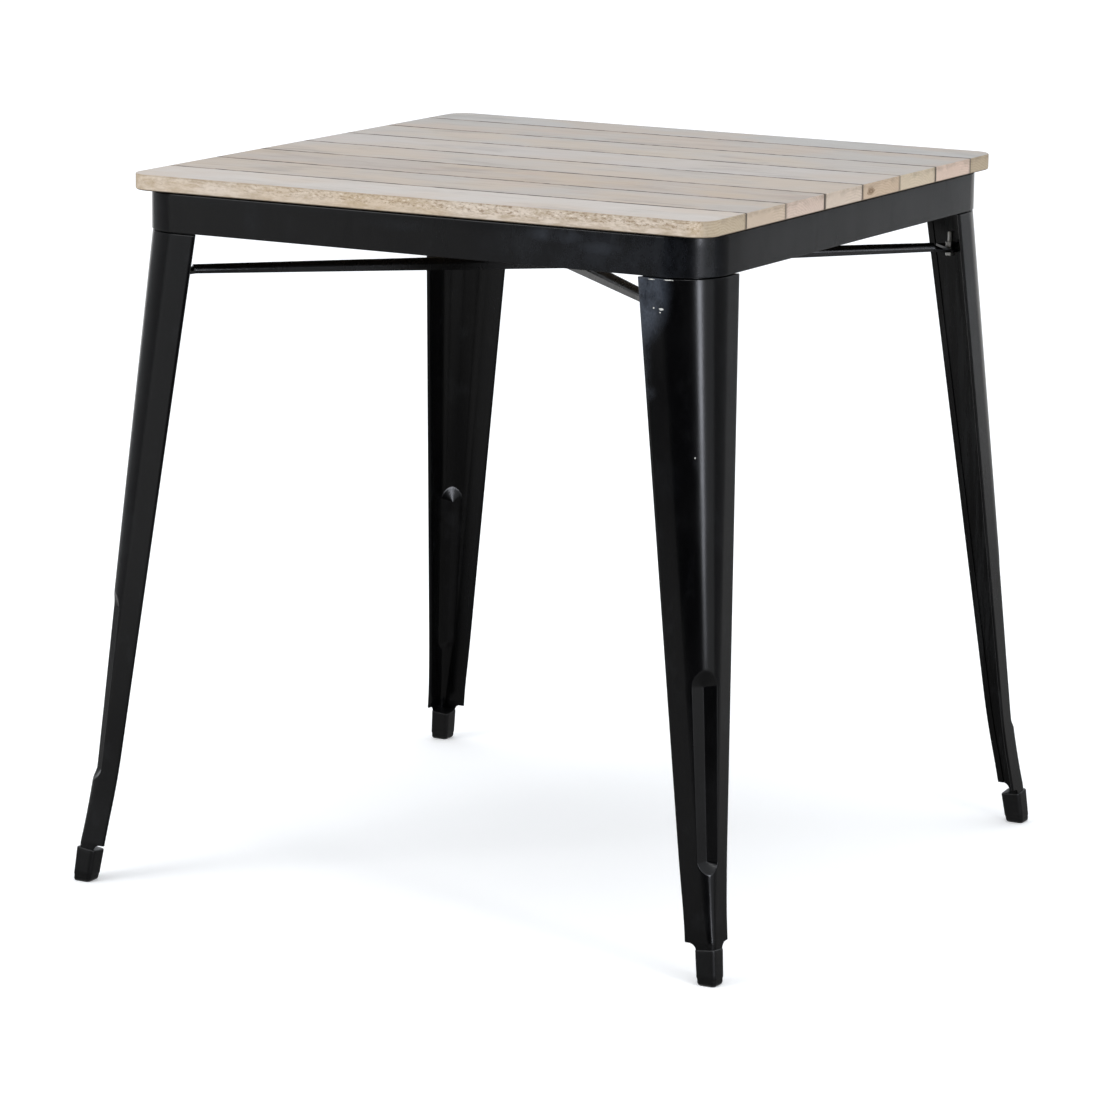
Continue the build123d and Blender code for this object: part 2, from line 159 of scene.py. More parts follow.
def wood(index, tone, warm, end_tone, seed, gain, knot=None):
    """Grey-washed plank: face grain along X, mottled long edge, ringed end grain."""
    s = Shader(f"washed_wood_{index}")
    shift = (seed * 3.17, seed * 7.31, seed * 1.93)
    x, y, z = s.split(s.coords.outputs["Object"])
    nx, ny, nz = s.split(s.coords.outputs["Normal"])
    low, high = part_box(f"plank_{index}")
    top, under = high.z, low.z

    # slow drift bends the grain a little so that streaks are never ruled lines
    drift = s.noise(s.where((3.0, 5.0, 5.0), shift), 2.0, 0.5)
    y_bent = s.math("ADD", y, s.math("MULTIPLY", s.math("SUBTRACT", drift, 0.5), 0.03))
    bent = s.join(x, y_bent, z)

    patch = s.noise(s.where((7.0, 13.0, 13.0), shift), 3.0, 0.5)
    blotch = s.noise(s.where((9.0, 26.0, 26.0), shift, bent), 4.0, 0.6)
    cloud = s.noise(s.where((16.0, 40.0, 40.0), shift[::-1], bent), 5.0, 0.65)
    streak = s.noise(s.where((13.0, 330.0, 330.0), shift, bent), 5.0, 0.62)
    hair = s.noise(s.where((40.0, 1500.0, 1500.0), shift, bent), 3.0, 0.6)
    pores = s.noise(s.where((120.0, 2600.0, 2600.0), shift, bent), 2.0, 0.5)

    grey = linear(*tone)
    beige = linear(*warm)
    pink = linear(tone[0] + 5, tone[1] - 8, tone[2] - 8)
    pale = linear(*(c + 10 for c in tone))
    deep = linear(tone[0] - 24, tone[1] - 25, tone[2] - 26)
    face = s.mix(s.ramp(patch, 0.40, 0.62), grey, beige)
    face = s.mix(s.ramp(blotch, 0.52, 0.74, 0.0, 0.75), face, deep)
    face = s.mix(s.ramp(cloud, 0.55, 0.78, 0.0, 0.6), face, pink)
    face = s.mix(s.ramp(cloud, 0.44, 0.22, 0.0, 0.8), face, pale)
    face = s.mix(s.ramp(streak, 0.42, 0.30, 0.0, 0.35), face, linear(150, 140, 128))
    face = s.mix(s.ramp(hair, 0.60, 0.78, 0.0, 0.22), face, linear(132, 120, 106))
    face = s.mix(s.ramp(pores, 0.70, 0.82, 0.0, 0.30), face, linear(112, 100, 88))

    # long edges: coarse tan mottling in the upper part, calmer and paler below
    speck = s.noise(s.where((190.0, 700.0, 460.0), shift), 5.0, 0.72)
    fleck = s.noise(s.where((50.0, 400.0, 200.0), shift), 4.0, 0.62)
    sweep = s.noise(s.where((9.0, 20.0, 20.0), shift), 2.0, 0.5)
    vivid = s.math("MULTIPLY", s.ramp(z, top - 0.0125, top - 0.0075, 0.25, 1.0),
                   s.ramp(x, -0.30, 0.05, 0.35, 1.0))
    edge = s.mix(s.ramp(fleck, 0.36, 0.62), linear(198, 182, 160), linear(226, 214, 198))
    edge = s.mix(s.ramp(sweep, 0.35, 0.65, 0.0, 0.5), edge, linear(206, 184, 150))
    edge = s.mix(s.math("MULTIPLY", s.ramp(speck, 0.50, 0.64), s.math("MULTIPLY", vivid, 0.75)),
                 edge, linear(138, 112, 82))
    edge = s.mix(s.math("MULTIPLY", s.ramp(speck, 0.45, 0.32), s.math("MULTIPLY", vivid, 0.85)),
                 edge, linear(246, 239, 226))
    edge = s.mix(s.ramp(z, top - 0.0025, top - 0.0005, 0.0, 0.45), edge, linear(150, 134, 112))

    # end grain: growth rings round a heart below the board, greyer near the top
    middle = (low.y + high.y) / 2 + 0.03 * math.sin(seed * 5.1)
    dy = s.math("SUBTRACT", y, middle)
    dz = s.math("SUBTRACT", z, top - 0.055 - 0.03 * (seed % 1.0))
    reach = s.math("SQRT", s.math("ADD", s.math("MULTIPLY", dy, dy), s.math("MULTIPLY", dz, dz)))
    wobble = s.noise(s.where((30.0, 60.0, 60.0), shift), 3.0, 0.5)
    rings = s.math("SINE", s.math("ADD", s.math("MULTIPLY", reach, 2300.0), s.math("MULTIPLY", wobble, 14.0)))
    grit = s.noise(s.where((300.0, 420.0, 420.0), shift), 4.0, 0.7)
    stain = s.noise(s.where((60.0, 75.0, 130.0), shift[::-1]), 4.0, 0.6)
    end_dark = linear(*(c - 16 for c in end_tone))
    end = s.mix(s.ramp(rings, -0.9, 0.9, 0.0, 0.7), linear(*end_tone), end_dark)
    end = s.mix(s.ramp(grit, 0.5, 0.72, 0.0, 0.5), end, linear(*(c - 44 for c in end_tone)))
    crust = s.math("ADD", s.ramp(z, top - 0.0065, top - 0.0015, 0.0, 0.17),
                   s.ramp(stain, 0.30, 0.70, -0.12, 0.22), clamp=True)
    crust = s.math("MULTIPLY", crust, s.ramp(z, top - 0.0100, top - 0.0035))
    end = s.mix(crust, end, linear(126, 112, 96))
    if knot:
        ky, kz, kr = knot
        u = s.math("SUBTRACT", y, ky)
        v = s.math("MULTIPLY", s.math("SUBTRACT", z, kz), 1.7)
        away = s.math("SQRT", s.math("ADD", s.math("MULTIPLY", u, u), s.math("MULTIPLY", v, v)))
        away = s.math("ADD", away, s.math("MULTIPLY", s.math("SUBTRACT", stain, 0.5), 0.016))
        ripple = s.math("SINE", s.math("MULTIPLY", away, 1900.0))
        spot = s.math("MULTIPLY", s.ramp(away, kr, kr * 0.45), s.ramp(ripple, -1.0, 1.0, 0.45, 1.0))
        end = s.mix(spot, end, linear(124, 96, 66))

    on_edge = s.ramp(s.math("ABSOLUTE", ny), 0.45, 0.80)
    on_end = s.ramp(s.math("ABSOLUTE", nx), 0.45, 0.80)
    face = s.mix(1.0, face, (gain * 1.01, gain * 0.975, gain * 0.955), "MULTIPLY")
    colour = s.mix(on_edge, face, s.mix(1.0, edge, (0.86, 0.84, 0.84), "MULTIPLY"))
    colour = s.mix(on_end, colour, s.mix(1.0, end, (0.80, 0.79, 0.78), "MULTIPLY"))

    # darker along the seams, in uneven pockets: dirt in the joints, and painted shade standing in for the
    # shadow in the V grooves
    gap = 1.0
    for side, inner in ((low.y, index > 1), (high.y, index < 8)):
        if inner:
            near = s.math("ABSOLUTE", s.math("SUBTRACT", y, side))
            gap = s.math("MINIMUM", gap, near)
    pocket = s.noise(s.where((42.0, 12.0, 0.0), shift), 3.0, 0.6)
    seam_dirt_and_shade = s.math("MULTIPLY", s.ramp(gap, 0.0036, 0.0012), s.ramp(pocket, 0.38, 0.56, 0.35, 1.0))
    colour = s.mix(seam_dirt_and_shade, colour, linear(66, 57, 49))
    colour = s.mix(s.ramp(nz, -0.3, -0.7), colour, linear(150, 132, 110))
    # painted shadow: the lowest 1.6 mm of the board darkens to near black, standing in for the shadow line
    # between the top and the apron
    colour = s.mix(s.ramp(z, under + 0.0016, under + 0.0004, 0.0, 0.8), colour, linear(46, 38, 30))

    relief = s.math("ADD", s.math("MULTIPLY", streak, 0.6), s.math("MULTIPLY", hair, 0.4))
    normal = s.bump(relief, 0.00035, 0.35)
    rough = s.ramp(streak, 0.3, 0.7, 0.62, 0.50)
    return s.finish(base_color=colour, roughness=rough, normal=normal, specular_ior_level=0.30)


def oval(s, x, z, centre, radius):
    """1 in the middle of an oval on an upright face, 0 at its rim and beyond."""
    u = s.math("DIVIDE", s.math("SUBTRACT", x, centre[0]), radius[0])
    v = s.math("DIVIDE", s.math("SUBTRACT", z, centre[1]), radius[1])
    away = s.math("SQRT", s.math("ADD", s.math("MULTIPLY", u, u), s.math("MULTIPLY", v, v)))
    return s.ramp(away, 1.0, 0.25)


def black_steel(name, tint=(3, 3, 4), gloss=0.20, haze_and_sheen=(), chips_and_glints=(), streaks=0.0):
    """Satin black paint: faint orange peel, cloudy sheen, dust, dull patches and chips, plus painted sheen
    and painted glints where asked for.

    haze_and_sheen is (centre, radius, strength) and chips_and_glints is (centre, radius), in x and z on the
    front side;
    haze patches serve for worn dull paint and for painted sheen, chips for bare chips and for painted glints.
    streaks is the strength of the runs down the inside of a leg.
    """
    s = Shader(name)
    x, y, z = s.split(s.coords.outputs["Object"])
    cloud = s.noise(s.where((7.0, 7.0, 4.0)), 4.0, 0.6)
    peel = s.noise(s.where((420.0, 420.0, 420.0)), 2.0, 0.5)
    dust = s.noise(s.where((1400.0, 1400.0, 1400.0)), 2.0, 0.6)
    smear = s.noise(s.where((60.0, 60.0, 9.0)), 5.0, 0.62)
    mottle = s.noise(s.where((34.0, 34.0, 22.0)), 5.0, 0.68)
    wave = s.noise(s.where((11.0, 11.0, 6.0), (3.0, 1.0, 2.0)), 2.0, 0.5)
    base = s.mix(s.ramp(cloud, 0.35, 0.7), linear(*tint), linear(*(c + 5 for c in tint)))
    base = s.mix(s.ramp(mottle, 0.52, 0.78, 0.0, 0.55), base, linear(26, 27, 29))
    base = s.mix(s.ramp(dust, 0.66, 0.80, 0.0, 0.12), base, linear(60, 60, 60))
    rough = s.math("ADD", s.ramp(cloud, 0.3, 0.7, gloss - 0.03, gloss + 0.05),
                   s.ramp(smear, 0.5, 0.75, 0.0, 0.07))
    if streaks:
        nx, ny, _ = s.split(s.coords.outputs["Normal"])
        facing = s.math("ADD", s.math("MULTIPLY", x, nx), s.math("MULTIPLY", y, ny))
        inside = s.ramp(facing, -0.01, -0.06)
        run = s.noise(s.where((120.0, 120.0, 3.0), (5.0, 2.0, 4.0)), 4.0, 0.6)
        paler = s.math("MULTIPLY", inside, s.ramp(run, 0.46, 0.66, 0.0, streaks))
        base = s.mix(paler, base, linear(44, 45, 46))
        rough = s.math("ADD", rough, s.math("MULTIPLY", inside, s.ramp(run, 0.42, 0.60, -0.03, 0.04)))
    grit = s.noise(s.where((520.0, 520.0, 420.0)), 3.0, 0.7)
    front = s.ramp(y, -0.28, -0.31)
    # each haze patch lays bluish grey over the paint and dulls it; it serves for worn paint and for painted
    # sheen
    for centre, radius, amount in haze_and_sheen:
        area = s.math("MULTIPLY", oval(s, x, z, centre, radius), front)
        area = s.math("MULTIPLY", area, s.ramp(mottle, 0.34, 0.62, 0.30, 1.0))
        fine = s.math("MULTIPLY", area, s.ramp(grit, 0.35, 0.65, 0.7, 1.0))
        base = s.mix(s.math("MULTIPLY", fine, amount), base, linear(78, 84, 95))
        rough = s.math("ADD", rough, s.math("MULTIPLY", area, min(0.12, 0.6 * amount)))
    # each chip lays a near-white spot; it serves for bare paint chips and for painted glints
    for centre, radius in chips_and_glints:
        ragged = s.math("MULTIPLY", s.math("SUBTRACT", grit, 0.5), radius[0] * 1.6)
        spot = oval(s, s.math("ADD", x, ragged), z, centre, radius)
        spot = s.math("MULTIPLY", s.ramp(spot, 0.15, 0.5), front)
        base = s.mix(spot, base, linear(205, 205, 200))
        rough = s.math("ADD", rough, s.math("MULTIPLY", spot, 0.3))
    normal = s.bump(wave, 0.0012, 0.35)
    normal = s.bump(peel, 0.00006, 0.5, normal)
    return s.finish(base_color=base, roughness=rough, normal=normal, specular_ior_level=0.25)


def black_rubber():
    """Moulded rubber with a fine grain and scuffs."""
    s = Shader("foot_rubber")
    grain = s.noise(s.where((900.0, 900.0, 900.0)), 4.0, 0.65)
    scuff = s.noise(s.where((90.0, 90.0, 240.0)), 4.0, 0.6)
    base = s.mix(s.ramp(scuff, 0.50, 0.78, 0.0, 0.6), linear(6, 6, 7), linear(20, 20, 19))
    return s.finish(base_color=base, roughness=s.ramp(grain, 0.3, 0.7, 0.34, 0.50),
                    normal=s.bump(grain, 0.0002, 0.5), specular_ior_level=0.35)


def zinc(name, tone):
    """Plated steel with fine upright lines."""
    s = Shader(name)
    tint = s.noise(s.where((160.0, 160.0, 160.0)), 4.0, 0.6)
    line = s.noise(s.where((2600.0, 2600.0, 300.0)), 3.0, 0.6)
    base = s.mix(s.ramp(tint, 0.35, 0.7), linear(*tone), linear(*(c - 26 for c in tone)))
    return s.finish(base_color=base, metallic=1.0, roughness=s.ramp(line, 0.3, 0.7, 0.28, 0.46),
                    normal=s.bump(line, 0.00008, 0.4))


# ------------------------------------------------------------------ mesh tools
def paint(node, material):
    """Give a CAD node one material."""
    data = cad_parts[node].data
    data.materials.clear()
    data.materials.append(material)


def add_piece(name, verts, faces, material, replaces, angle):
    """Mesh from millimetre points, riding on the table's one body."""
    mesh = bpy.data.meshes.new(name)
    mesh.from_pydata([tuple(v) for v in np.asarray(verts, float) * MM], [], faces)
    mesh.validate()
    obj = bpy.data.objects.new(name, mesh)
    bpy.context.scene.collection.objects.link(obj)
    mesh.shade_smooth()
    mesh.set_sharp_from_angle(angle=math.radians(angle))
    obj.data.materials.append(material)
    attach(obj, "root")
    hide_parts(replaces)


def loops_to_mesh(loops, caps=True):
    """Quads between successive rings of equal length; optional end caps."""
    loops = np.asarray(loops, float)
    rows, count = loops.shape[:2]
    verts = loops.reshape(-1, 3)
    faces = []
    for i in range(rows - 1):
        for j in range(count):
            k = (j + 1) % count
            faces.append((i * count + j, i * count + k, (i + 1) * count + k, (i + 1) * count + j))
    if caps:
        faces.append(tuple(range(count))[::-1])
        faces.append(tuple((rows - 1) * count + j for j in range(count)))
    return verts, faces


def mirrored(verts, faces, sx, sy):
    """Mirror into another corner, keeping the faces pointing outwards."""
    out = np.array(verts, float) * (sx, sy, 1.0)
    if sx * sy < 0:
        faces = [tuple(reversed(f)) for f in faces]
    return out, faces


def merge(parts):
    """One mesh from several."""
    verts, faces, base = [], [], 0
    for v, f in parts:
        verts.append(np.asarray(v, float))
        faces += [tuple(i + base for i in face) for face in f]
        base += len(v)
    return np.concatenate(verts), faces


def rounded_square(half, corner, steps, per_side):
    """Points and outward directions round a square with round corners."""
    points, normals = [], []
    for turn in range(4):
        c, n = math.cos(turn * math.pi / 2), math.sin(turn * math.pi / 2)

        def place(x, y, c=c, n=n):
            return (x * c - y * n, x * n + y * c)

        flat = half - corner
        for k in range(per_side):
            t = -flat + 2 * flat * k / per_side
            points.append(place(half, t))
            normals.append(place(1, 0))
        for k in range(steps):
            a = math.pi / 2 * k / steps
            points.append(place(flat + corner * math.cos(a), flat + corner * math.sin(a)))
            normals.append(place(math.cos(a), math.sin(a)))
    return np.array(points), np.array(normals)


# ------------------------------------------------------------------ materials
STEEL = black_steel("satin_black_steel")
# bluish smudges on the front of the apron; the last, broad patch is painted sheen, a painted reflection that
# lifts the right end of the front face
APRON_STEEL = black_steel("satin_black_apron", haze_and_sheen=[
    ((0.165, 0.719), (0.040, 0.010), 0.22), ((0.215, 0.710), (0.030, 0.008), 0.12),
    ((-0.185, 0.707), (0.016, 0.022), 0.06), ((-0.02, 0.716), (0.05, 0.009), 0.08),
    ((0.290, 0.705), (0.270, 0.080), 0.11)])
LEG_STEEL = {corner: STEEL for corner in CORNERS}
LEG_STEEL["rear_right"] = black_steel("satin_black_leg_rear_right", streaks=0.4)
LEG_STEEL["front_right"] = black_steel(
    "satin_black_leg_front_right",
    haze_and_sheen=[((0.264, 0.668), (0.034, 0.056), 0.85), ((0.265, 0.590), (0.014, 0.080), 0.22),
          ((0.276, 0.574), (0.009, 0.010), 0.20), ((0.300, 0.490), (0.020, 0.030), 0.02),
          ((0.286, 0.420), (0.014, 0.040), 0.03)],
    # white paint chips, except the two long thin marks near z 0.684, which are painted glints along the
    # rounded top edge of the leg
    chips_and_glints=[((0.2757, 0.6568), (0.0014, 0.0011)), ((0.2838, 0.6560), (0.0034, 0.0016)),
           ((0.2828, 0.6528), (0.0012, 0.0009)), ((0.2720, 0.6842), (0.0040, 0.0007)),
           ((0.2900, 0.6846), (0.0060, 0.0007)), ((0.3245, 0.5140), (0.0006, 0.0011))])
BRACE_STEEL = black_steel("satin_black_brace", (3, 3, 3), 0.26)
RUBBER = black_rubber()
BOLT_ZINC = zinc("bolt_zinc", (205, 204, 200))
SCREW_ZINC = zinc("screw_zinc", (170, 170, 172))

# ------------------------------------------------------------------ planks
# face grey, face warm patches, end grain, brightness
TONES = [
    ((205, 200, 194), (204, 194, 183), (200, 184, 160), 0.705),
    ((193, 187, 180), (199, 187, 173), (214, 196, 176), 0.66),
    ((192, 183, 174), (199, 184, 166), (222, 202, 188), 0.645),
    ((195, 189, 182), (200, 188, 174), (224, 208, 192), 0.66),
    ((199, 194, 189), (199, 190, 180), (214, 192, 168), 0.67),
    ((195, 190, 184), (200, 189, 175), (222, 206, 182), 0.655),
    ((190, 187, 182), (196, 184, 172), (232, 208, 192), 0.655),
    ((188, 187, 184), (192, 183, 173), (198, 181, 156), 0.68),
]
KNOT = (0.026, 0.7365, 0.011)  # y, z and radius, on the right end of plank 5
for number, (tone, warm, end_tone, gain) in enumerate(TONES, start=1):
    knot = KNOT if number == 5 else None
    paint(f"plank_{number}", wood(number, tone, warm, end_tone, 0.73 * number, gain, knot))


# ------------------------------------------------------------------ apron
apron_low, apron_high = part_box("apron_frame")
APRON_HALF = apron_high.x / MM
APRON_LOW = apron_low.z / MM
APRON_TOP = apron_high.z / MM
APRON_CORNER = 50.0
FLANGE = 25.0
SHEET = 1.5


def make_apron():
    """Folded ring: rolled lower lip, upright face, rounded bend and flange."""
    bend = 3.0
    lip = 0.75
    profile = []
    for k in range(7):
        a = math.pi * k / 6
        profile.append((lip * math.cos(a) - lip, APRON_LOW + lip - lip * math.sin(a)))
    profile += [(-SHEET, APRON_LOW + 4.0), (-SHEET, APRON_LOW + 12.0), (-SHEET, APRON_TOP - 12.0)]
    for k in range(5):
        a = math.pi / 2 * k / 4
        r = bend - SHEET
        profile.append((-bend + r * math.cos(a), APRON_TOP - bend + r * math.sin(a)))
    edge = -SHEET - FLANGE
    profile += [(-8.0, APRON_TOP - SHEET), (edge + 0.4, APRON_TOP - SHEET), (edge, APRON_TOP - SHEET / 2),
                (edge + 0.4, APRON_TOP), (-8.0, APRON_TOP)]
    for k in range(7):
        a = math.pi / 2 * (1 - k / 6)
        profile.append((-bend + bend * math.cos(a), APRON_TOP - bend + bend * math.sin(a)))
    profile += [(0.0, APRON_TOP - 12.0), (0.0, APRON_LOW + 12.0), (0.0, APRON_LOW + 4.0)]
    points, normals = rounded_square(APRON_HALF, APRON_CORNER, 20, 12)
    loops = []
    for offset, z in profile:
        ring = points + normals * offset
        loops.append(np.column_stack([ring, np.full(len(ring), z)]))
    loops.append(loops[0])
    verts, faces = loops_to_mesh(loops, caps=False)
    return verts, [tuple(reversed(f)) for f in faces]


verts, faces = make_apron()
add_piece("apron", verts, faces, APRON_STEEL, "apron_frame", angle=50.0)


# ------------------------------------------------------------------ legs
LEG_TOP = APRON_LOW - 1.5
SHOULDER = 1.2  # radius of the rounded top edge
LEG_HEAD = 690.0  # height at which the head sizes hold
HEAD_HALF, SPLAY = 329.8, 0.0637
FLARE_FROM, FLARE = 142.0, 3.83e-4
FOOT_TOP, FOOT_HALF, FOOT_LEAN = 42.0, 374.9, 0.09
HEAD_WIDTH, TAPER = 74.4, 0.0675
SPREAD_FROM, SPREAD = 80.0, 9.56e-4
RADIUS_HEIGHTS, RADII = (FOOT_TOP, 180.0, LEG_HEAD), (6.8, 20.1, 50.0)
FLANK_END = 40.5  # the flanks stop here; a strip by the corner goes on into the foot cap
STRIP = 19.5
RELIEF = 7.5
HEM = 7.0
FOLD = 1.5
TONGUE = (APRON_HALF - 1.8, 66.0, 48.2)  # flank distance, flank width and corner radius
TONGUE_GAP = 4.0  # how far the joint under the apron is set in
GROOVE_TOP = (290.5, 13.0, 1.43)  # height, half width and how fast the round end closes
GROOVE_LOW = (119.5, 10.5, 2.4)
GROOVE_SLOPE = 0.30
GROOVE_SOFT = 0.35
FAR_BELOW = 900.0  # shift that takes a plain section clear of the groove


def leg_shape(z):
    """Flank distance, flank width and corner radius at height z."""
    half = np.where(z < FOOT_TOP, FOOT_HALF + FOOT_LEAN * (FOOT_TOP - z),
                    HEAD_HALF + SPLAY * (LEG_HEAD - z) + FLARE * np.maximum(FLARE_FROM - z, 0.0) ** 2)
    zw = np.maximum(z, FLANK_END)
    width = HEAD_WIDTH - TAPER * (LEG_HEAD - zw) + SPREAD * np.maximum(SPREAD_FROM - zw, 0.0) ** 2
    radius = np.interp(z, RADIUS_HEIGHTS, RADII)
    round_cut = np.clip((z - (FLANK_END - RELIEF)) / RELIEF, 0.0, 1.0)
    relief = STRIP + RELIEF * (1.0 - np.sqrt(1.0 - round_cut ** 2))
    width = np.where(z < FLANK_END, relief, width)
    return half, width, radius


def leg_point(s, z, shape=None):
    """Point of the outer skin at arc length s from the corner line."""
    half, width, radius = shape if shape is not None else leg_shape(z)
    a = np.abs(s)
    arc = radius * math.pi / 4
    angle = np.minimum(a, arc) / radius
    past = np.maximum(a - arc, 0.0)
    centre = (half - radius) * math.sqrt(2)
    across = radius * np.sin(angle) + past * math.sqrt(0.5)
    out = centre + radius * np.cos(angle) - past * math.sqrt(0.5)
    # pressed groove: two flat walls meeting in a tight valley, round ends
    t = np.clip((z - GROOVE_LOW[0]) / (GROOVE_TOP[0] - GROOVE_LOW[0]), 0.0, 1.0)
    wide = GROOVE_LOW[1] + t * (GROOVE_TOP[1] - GROOVE_LOW[1])
    flat = wide > radius * math.sqrt(0.5)
    rim = np.where(flat, half * math.sqrt(2) - wide,
                   centre + np.sqrt(np.maximum(radius ** 2 - wide ** 2, 0.0)))
    beyond = (GROOVE_TOP[2] * np.maximum(z - GROOVE_TOP[0], 0.0)
              + GROOVE_LOW[2] * np.maximum(GROOVE_LOW[0] - z, 0.0))
    reach = np.sqrt(across ** 2 + beyond ** 2 + 0.4 ** 2) - 0.1
    wall = rim - GROOVE_SLOPE * (wide - reach)
    gap = wall - out
    press = (np.sqrt(gap ** 2 + GROOVE_SOFT ** 2) - gap) / 2
    out = out - press * np.where(gap > 8 * GROOVE_SOFT, 0.0, 1.0)
    side = np.sign(s) * across
    x = (out + side) * math.sqrt(0.5)
    y = (out - side) * math.sqrt(0.5)
    return np.stack([x, y, z + 0.0 * s], -1)


def leg_normal(s, z):
    """Outward unit normals of the outer skin."""
    d = 0.05
    u = leg_point(s + d, z) - leg_point(s - d, z)
    v = leg_point(s, z + d) - leg_point(s, z - d)
    n = np.cross(u, v)
    n /= np.linalg.norm(n, axis=-1, keepdims=True)
    outward = (n[..., 0] + n[..., 1]) < 0
    n[outward] *= -1
    return n


def spread_points(total, count_in=104, count_out=14):
    """Arc lengths from one free edge to the other, dense at the corner."""
    zone = min(24.0, 0.78 * total)
    inside = np.linspace(-zone, zone, count_in)
    outside = np.linspace(0, 1, count_out + 1)[1:]
    right = zone + (total - zone) * outside
    return np.concatenate([-right[::-1], inside, right])


def leg_ring(z, tongue=False):
    """Closed ring round the folded sheet at height z."""
    zz = np.array(float(z))
    half, width, radius = (np.array(v, float) for v in (TONGUE if tongue else leg_shape(zz)))
    total = float(width - radius + radius * math.pi / 4)
    hem = HEM if z >= FLANK_END and not tongue else 1.0
    fold = FOLD if z >= FLANK_END and not tongue else SHEET / 2
    outer_s = spread_points(total - fold)
    inner_s = spread_points(total - hem)[::-1]
    if tongue:
        shape = (half, width, radius)
        level = zz - FAR_BELOW
        outer = leg_point(outer_s, level, shape)
        flat_in = leg_point(inner_s, level, shape)
        d = 0.05
        t_out = leg_point(outer_s + d, level, shape) - leg_point(outer_s - d, level, shape)
        t_in = leg_point(inner_s + d, level, shape) - leg_point(inner_s - d, level, shape)
        n_out = np.stack([-t_out[:, 1], t_out[:, 0], 0 * t_out[:, 0]], -1)
        n_in = np.stack([-t_in[:, 1], t_in[:, 0], 0 * t_in[:, 0]], -1)
        for n in (n_out, n_in):
            n /= np.linalg.norm(n, axis=-1, keepdims=True)
            n[(n[:, 0] + n[:, 1]) < 0] *= -1
        outer[:, 2] = flat_in[:, 2] = z
    else:
        outer = leg_point(outer_s, zz)
        flat_in = leg_point(inner_s, zz)
        n_out = leg_normal(outer_s, zz)
        n_in = leg_normal(inner_s, zz)
    n_flat = n_in.copy()
    n_flat[:, 2] = 0
    n_flat /= np.linalg.norm(n_flat, axis=-1, keepdims=True)
    inner = flat_in - SHEET * n_flat
    ring = [outer]
    for end, place in ((1, -1), (-1, 0)):
        tip = outer[place]
        n = n_out[place].copy()
        n[2] = 0
        n /= np.linalg.norm(n)
        along = outer[place] - outer[place - end]
        along[2] = 0
        along /= np.linalg.norm(along)
        turn = [tip - fold * n + fold * (n * math.cos(a) + along * math.sin(a))
                for a in np.linspace(0, math.pi, 7)[1:]]
        back = [turn[-1] - along * (hem - fold) * f for f in (0.5, 0.92, 1.0)]
        step = [back[-1] + n * (2 * fold - SHEET) * f for f in (0.15, 0.5)]
        piece = np.array(turn + back + step)
        ring.append(piece if end > 0 else piece[::-1])
        if end > 0:
            ring.append(inner)
    return np.concatenate(ring)


def make_leg():
    """Folded leg, from inside the foot cap to the top of its tongue."""
    low = 24.0
    shoulder_at = LEG_TOP - 1.0
    heights = np.concatenate([
        np.linspace(low, 34.0, 4), FLANK_END - RELIEF * np.cos(np.linspace(0.0, math.pi / 2, 14))[:-1],
        [FLANK_END - 0.02, FLANK_END + 0.02, FLANK_END + 0.8],
        np.linspace(42.0, 100.0, 30)[:-1], np.linspace(100.0, 135.0, 60)[:-1],
        np.linspace(135.0, 280.0, 60)[:-1], np.linspace(280.0, 314.0, 48)[:-1],
        np.linspace(314.0, shoulder_at, 46),
    ])
    rings = [leg_ring(z) for z in heights]
    # rounded shoulder, a thin dark gap, then the tongue that goes up inside the apron
    bend = RADII[-1]
    centre = float(leg_shape(np.array(shoulder_at))[0]) - bend
    last = rings[-1]
    for k in range(1, 6):
        a = math.radians(54.0) * k / 5
        ring = last.copy()
        ring[:, 2] += SHOULDER * math.sin(a)
        pull = np.clip((ring[:, :2] - centre) / bend, 0.0, 1.0)
        ring[:, :2] -= SHOULDER * (1 - math.cos(a)) * pull
        rings.append(ring)
    for z, sunk in ((LEG_TOP + 0.05, TONGUE_GAP), (LEG_TOP + 2.0, TONGUE_GAP), (LEG_TOP + 2.6, 0.0),
                    (LEG_TOP + 6.0, 0.0), (APRON_TOP - 8.0, 0.0), (APRON_TOP - SHEET - 1.0, 0.0)):
        ring = leg_ring(z, tongue=True)
        ring[:, :2] -= sunk
        rings.append(ring)
    verts, faces = loops_to_mesh(rings)
    return verts, faces


def make_tab():
    """Top tab of a leg, under the apron flange."""
    half, _, radius = TONGUE
    centre = half - radius
    outline = [(252.5, 312.5), (252.5, half - 0.3)]
    for k in range(13):
        a = math.pi / 2 * (1 - k / 12)
        outline.append((centre + (radius - 0.3) * math.cos(a), centre + (radius - 0.3) * math.sin(a)))
    outline += [(half - 0.3, 252.5), (312.5, 252.5)]
    ring = np.array(outline)
    z1, z0 = APRON_TOP - SHEET - 0.02, APRON_TOP - SHEET - 2.0
    loops = [np.column_stack([ring, np.full(len(ring), z)]) for z in (z0, z1)]
    verts, faces = loops_to_mesh(loops)
    return verts, [tuple(reversed(f)) for f in faces]


leg_verts, leg_faces = make_leg()
tab_verts, tab_faces = make_tab()
for corner, (sx, sy) in CORNERS.items():
    v, f = merge([(leg_verts, leg_faces), (tab_verts, tab_faces)])
    v, f = mirrored(v, f, sx, sy)
    add_piece(f"leg_skin_{corner}", v, f, LEG_STEEL[corner], f"leg_{corner}", angle=50.0)


# ------------------------------------------------------------------ foot caps
CAP_AT = 369.4  # middle of the cap on the floor, in X and Y
CAP_LEAN = 0.11
CAP_HEIGHT = 34.7
CAP_HALF = 10.85
CAP_GROWTH = 0.5 / 42.7
CAP_CORNER = 4.5
CAP_EDGE = 1.3  # radius of the rounded top edge
